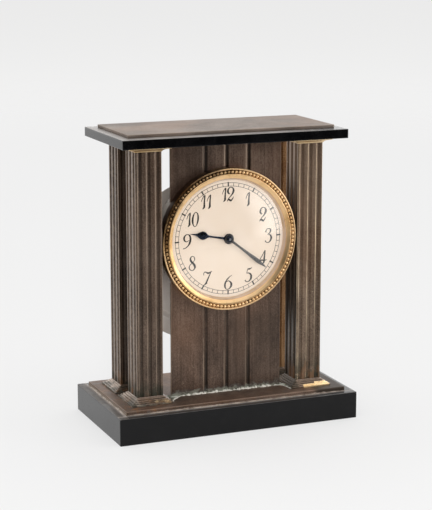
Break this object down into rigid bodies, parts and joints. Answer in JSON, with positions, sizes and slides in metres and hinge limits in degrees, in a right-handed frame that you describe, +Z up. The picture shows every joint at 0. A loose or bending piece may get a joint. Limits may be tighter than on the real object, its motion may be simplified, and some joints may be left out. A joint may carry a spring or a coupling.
{
  "type": "desk clock",
  "caption": "Temple-shaped desk clock: polished stone base and top, fluted bronze columns, grooved panel with a beaded round bezel, wound and set from the back.",
  "frame": {"origin": "bottom centre of the base slab", "axes": "+Z up, the dial faces -Y, +X to the right of someone who reads the dial"},
  "size_m": [0.15, 0.0802, 0.1762],
  "materials": {
    "black_stone": "polished black marble",
    "patinated_bronze": "dark brown patinated bronze, brushed, rubbed at the edges",
    "gilt_brass": "gilt, slightly toned",
    "steel": "plain steel",
    "brass": "lacquered brass",
    "blued_steel": "blued steel",
    "nickel": "dulled nickel plate",
    "glass": "clear domed glass",
    "cream_dial": "cream paint, matt"
  },
  "bodies": {
    "case": {"base_slab": "black_stone", "top_slab": "black_stone", "base_plate": "patinated_bronze", "top_plate": "patinated_bronze", "dial_panel": "patinated_bronze", "plinth_front_left": "patinated_bronze", "plinth_front_right": "patinated_bronze", "plinth_rear_left": "patinated_bronze", "plinth_rear_right": "patinated_bronze", "column_front_left": "patinated_bronze", "column_front_right": "patinated_bronze", "column_rear_left": "patinated_bronze", "column_rear_right": "patinated_bronze", "bezel": "gilt_brass", "capital_front_left": "gilt_brass", "capital_front_right": "gilt_brass", "capital_rear_left": "gilt_brass", "capital_rear_right": "gilt_brass", "tie_rod_front_left": "steel", "tie_rod_front_right": "steel", "tie_rod_rear_left": "steel", "tie_rod_rear_right": "steel", "case_screw_1": "steel", "case_screw_2": "steel", "cover_screw_left": "steel", "cover_screw_right": "steel", "click_spring": "steel", "rod_nut_front_left": "brass", "rod_nut_front_right": "brass", "rod_nut_rear_left": "brass", "rod_nut_rear_right": "brass", "front_plate": "brass", "back_plate": "brass", "balance_cock": "brass", "movement_case": "nickel", "rear_cover": "nickel", "crystal": "glass", "dial": "cream_dial"},
    "minute_train": {"centre_arbor": "steel", "minute_hand": "blued_steel", "hand_nut": "blued_steel", "set_knob": "brass"},
    "hour_train": {"hour_wheel": "brass", "hour_hand": "blued_steel"},
    "motion_wheel": {"minute_wheel": "brass"},
    "winding_train": {"winding_arbor": "steel", "ratchet_wheel": "steel", "winding_key": "brass"},
    "ratchet_click": {"click": "steel"},
    "barrel_drum": {"barrel": "brass", "barrel_cover": "brass", "mainspring": "steel"},
    "intermediate": {"intermediate_wheel": "brass"},
    "centre": {"centre_wheel": "brass"},
    "third": {"third_wheel": "brass"},
    "fourth": {"fourth_wheel": "brass"},
    "escape": {"escape_wheel": "steel"},
    "lever": {"pallet_lever": "steel"},
    "balance": {"balance_wheel": "brass", "hairspring": "blued_steel"}
  },
  "joints": [
    {"name": "minute_hand_turn", "type": "hinge", "parent": "case", "child": "minute_train", "pos_m": [0, 0, 0.1114], "axis": [0, 1, 0], "continuous": true},
    {"name": "hour_hand_turn", "type": "hinge", "parent": "case", "child": "hour_train", "pos_m": [0, 0, 0.1114], "axis": [0, 1, 0], "continuous": true},
    {"name": "minute_wheel_turn", "type": "hinge", "parent": "case", "child": "motion_wheel", "pos_m": [0.00752, 0, 0.10866], "axis": [0, 1, 0], "continuous": true},
    {"name": "winding_key_turn", "type": "hinge", "parent": "case", "child": "winding_train", "pos_m": [-0.00828, 0, 0.09748], "axis": [0, -1, 0], "range_deg": [0, 2160]},
    {"name": "click_rock", "type": "hinge", "parent": "case", "child": "ratchet_click", "pos_m": [-0.00169, 0, 0.103], "axis": [0, 1, 0], "range_deg": [0, 10], "stiffness_Nm_per_rad": 0.0002, "springref_deg": -5.73},
    {"name": "fourth_wheel_turn", "type": "hinge", "parent": "case", "child": "fourth", "pos_m": [0.00615, 0, 0.12653], "axis": [0, 1, 0], "continuous": true},
    {"name": "third_wheel_turn", "type": "hinge", "parent": "case", "child": "third", "pos_m": [0.00929, 0, 0.1179], "axis": [0, 1, 0], "continuous": true},
    {"name": "centre_wheel_turn", "type": "hinge", "parent": "case", "child": "centre", "pos_m": [0, 0, 0.1114], "axis": [0, 1, 0], "continuous": true},
    {"name": "intermediate_wheel_turn", "type": "hinge", "parent": "case", "child": "intermediate", "pos_m": [0.00576, 0, 0.10142], "axis": [0, 1, 0], "continuous": true},
    {"name": "barrel_turn", "type": "hinge", "parent": "case", "child": "barrel_drum", "pos_m": [-0.00828, 0, 0.09748], "axis": [0, 1, 0], "continuous": true},
    {"name": "escape_wheel_turn", "type": "hinge", "parent": "case", "child": "escape", "pos_m": [-0.00267, 0, 0.12777], "axis": [0, 1, 0], "continuous": true},
    {"name": "lever_rock", "type": "hinge", "parent": "case", "child": "lever", "pos_m": [-0.00861, 0, 0.12694], "axis": [0, 1, 0], "range_deg": [-5, 5]},
    {"name": "balance_swing", "type": "hinge", "parent": "case", "child": "balance", "pos_m": [-0.016, 0, 0.12214], "axis": [0, 1, 0], "range_deg": [-220, 220], "stiffness_Nm_per_rad": 0.00002}
  ],
  "couplings": [
    {"joint": "minute_wheel_turn", "follows": "minute_hand_turn", "ratio": -0.33333},
    {"joint": "hour_hand_turn", "follows": "minute_hand_turn", "ratio": 0.083333},
    {"joint": "third_wheel_turn", "follows": "fourth_wheel_turn", "ratio": -0.13333},
    {"joint": "centre_wheel_turn", "follows": "fourth_wheel_turn", "ratio": 0.016667},
    {"joint": "intermediate_wheel_turn", "follows": "fourth_wheel_turn", "ratio": -0.0033333},
    {"joint": "barrel_turn", "follows": "fourth_wheel_turn", "ratio": 0.00055556},
    {"joint": "escape_wheel_turn", "follows": "fourth_wheel_turn", "ratio": -10}
  ]
}
